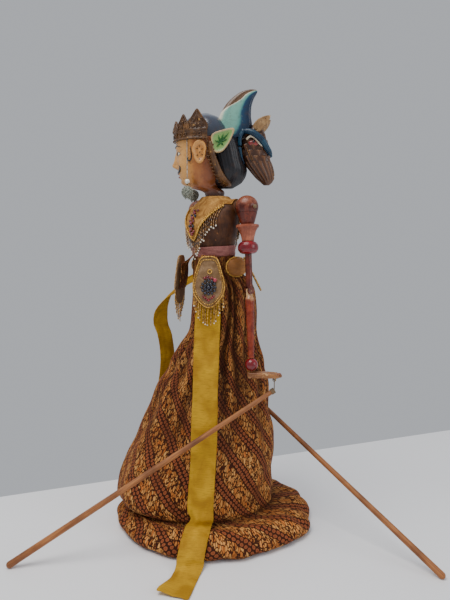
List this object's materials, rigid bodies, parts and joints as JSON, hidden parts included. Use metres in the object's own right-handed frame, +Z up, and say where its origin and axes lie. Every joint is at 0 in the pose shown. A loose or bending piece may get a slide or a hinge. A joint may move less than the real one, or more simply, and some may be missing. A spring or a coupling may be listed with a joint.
{
  "type": "rod puppet",
  "caption": "Carved wooden rod puppet with a turning head, jointed arms moved by hand rods, batik skirt, scarves and a hidden table stand.",
  "frame": {"origin": "centre of the stand's underside, on the central rod's axis", "axes": "+Z up along the central rod; the torso faces -Y and the puppet's left arm is at +X"},
  "size_m": [0.4299, 0.4203, 0.5995],
  "materials": {
    "stand_wood": "waxed dark wood",
    "rod_wood": "worn brown wood",
    "torso_paint": "dark brown paint on carved wood, worn",
    "cord": "twisted cotton thread",
    "velvet": "olive-gold velvet",
    "gold_trim": "gold sequin braid",
    "bugle_beads": "dark bugle beads",
    "red_beads": "red glass beads",
    "satin": "mauve satin",
    "batik": "batik cotton, ochre and maroon",
    "scarf_cloth": "yellow cotton",
    "face_paint": "ochre paint on carved wood, glossy",
    "cap_paint": "blue-black lacquer on wood",
    "carved_bronze": "bronze-brown paint on carved wood",
    "crescent_paint": "teal and deep blue paint on carved wood",
    "leaf_paint": "green paint on carved wood",
    "pearl": "pearl bead",
    "tassel_beads": "silver-green seed beads",
    "arm_paint": "red-brown paint on turned wood, worn",
    "cuff_paint": "terracotta paint on turned wood",
    "crimson_lacquer": "crimson lacquer, glossy",
    "bare_wood": "bare pale wood",
    "hand_paint": "ochre paint on carved wood",
    "brass_wire": "brass wire"
  },
  "bodies": {
    "stand": {"stand_base": "stand_wood", "stand_socket": "stand_wood"},
    "body": {"torso": "torso_paint", "shoulder_cord": "cord", "collar": "velvet", "collar_trim": "gold_trim", "collar_fringe": "bugle_beads", "chest_beads": "red_beads", "belt": "satin", "skirt": "batik", "skirt_train": "batik", "hip_boss_left": "velvet", "hip_boss_right": "velvet", "rear_flap": "velvet", "hip_flap_left": "velvet", "hip_flap_right": "velvet", "flap_fringe_left": "bugle_beads", "flap_fringe_right": "bugle_beads", "flap_beads_left": "bugle_beads", "flap_beads_right": "bugle_beads", "scarf_left": "scarf_cloth", "scarf_right": "scarf_cloth"},
    "head_rod": {"central_rod": "rod_wood", "rod_stop": "rod_wood", "head": "face_paint", "skull_cap": "cap_paint", "diadem": "carved_bronze", "hair": "cap_paint", "hair_crescent": "crescent_paint", "ear_leaf_left": "leaf_paint", "ear_leaf_right": "leaf_paint", "bird_ornament": "carved_bronze"},
    "pendant_left": {"pendant_thread_left": "cord", "pendant_bead_left": "pearl", "pendant_tassel_left": "tassel_beads"},
    "pendant_right": {"pendant_thread_right": "cord", "pendant_bead_right": "pearl", "pendant_tassel_right": "tassel_beads"},
    "upper_arm_left": {"upper_arm_left": "arm_paint", "arm_cuff_left": "cuff_paint", "arm_ring_left": "crimson_lacquer", "elbow_pin_left": "bare_wood"},
    "forearm_left": {"forearm_left": "arm_paint"},
    "hand_left": {"wrist_peg_left": "bare_wood", "wrist_bead_left": "crimson_lacquer", "hand_left": "hand_paint", "hand_staple_left": "brass_wire"},
    "rod_left": {"rod_tie_left": "cord", "hand_rod_left": "rod_wood"},
    "upper_arm_right": {"upper_arm_right": "arm_paint", "arm_cuff_right": "cuff_paint", "arm_ring_right": "crimson_lacquer", "elbow_pin_right": "bare_wood"},
    "forearm_right": {"forearm_right": "arm_paint"},
    "hand_right": {"wrist_peg_right": "bare_wood", "wrist_bead_right": "crimson_lacquer", "hand_right": "hand_paint", "hand_staple_right": "brass_wire"},
    "rod_right": {"rod_tie_right": "cord", "hand_rod_right": "rod_wood"}
  },
  "joints": [
    {"name": "torso_lift", "type": "slide", "parent": "stand", "child": "body", "axis": [0, 0, 1], "range_m": [0, 0.004]},
    {"name": "head_turn", "type": "hinge", "parent": "stand", "child": "head_rod", "pos_m": [0, 0, 0.4], "axis": [0, 0, 1], "range_deg": [-5, 85]},
    {"name": "pendant_left_swing", "type": "hinge", "parent": "head_rod", "child": "pendant_left", "pos_m": [0.00021, -0.04456, 0.5299], "axis": [-0.766, 0.6428, 0], "range_deg": [-5, 5]},
    {"name": "pendant_right_swing", "type": "hinge", "parent": "head_rod", "child": "pendant_right", "pos_m": [-0.04392, -0.00753, 0.5299], "axis": [-0.766, 0.6428, 0], "range_deg": [-5, 5]},
    {"name": "shoulder_left", "type": "hinge", "parent": "body", "child": "upper_arm_left", "pos_m": [0.059, 0.011, 0.441], "axis": [1, 0, 0], "range_deg": [-90, 0]},
    {"name": "elbow_left", "type": "hinge", "parent": "upper_arm_left", "child": "forearm_left", "pos_m": [0.06982, 0.00716, 0.3316], "axis": [0.9951, 0, 0.0985], "range_deg": [-90, 0]},
    {"name": "wrist_left", "type": "hinge", "parent": "forearm_left", "child": "hand_left", "pos_m": [0.07848, 0.00409, 0.24408], "axis": [-0.0984, 0.0349, 0.9945], "range_deg": [-4, 40]},
    {"name": "rod_left_swing", "type": "hinge", "parent": "hand_left", "child": "rod_left", "pos_m": [0.09741, 0.02805, 0.21508], "axis": [-0.9298, 0.3681, 0], "range_deg": [0, 50]},
    {"name": "shoulder_right", "type": "hinge", "parent": "body", "child": "upper_arm_right", "pos_m": [-0.059, 0.011, 0.441], "axis": [1, 0, 0], "range_deg": [0, 60]},
    {"name": "elbow_right", "type": "hinge", "parent": "upper_arm_right", "child": "forearm_right", "pos_m": [-0.06443, 0.04772, 0.33745], "axis": [0.9986, 0, -0.0523], "range_deg": [0, 25]},
    {"name": "wrist_right", "type": "hinge", "parent": "forearm_right", "child": "hand_right", "pos_m": [-0.06877, 0.07709, 0.25461], "axis": [0.0493, -0.3338, 0.9413], "range_deg": [0, 80]},
    {"name": "rod_right_swing", "type": "hinge", "parent": "hand_right", "child": "rod_right", "pos_m": [-0.07344, 0.08247, 0.2062], "axis": [0.1219, -0.9925, 0], "range_deg": [0, 50]}
  ]
}
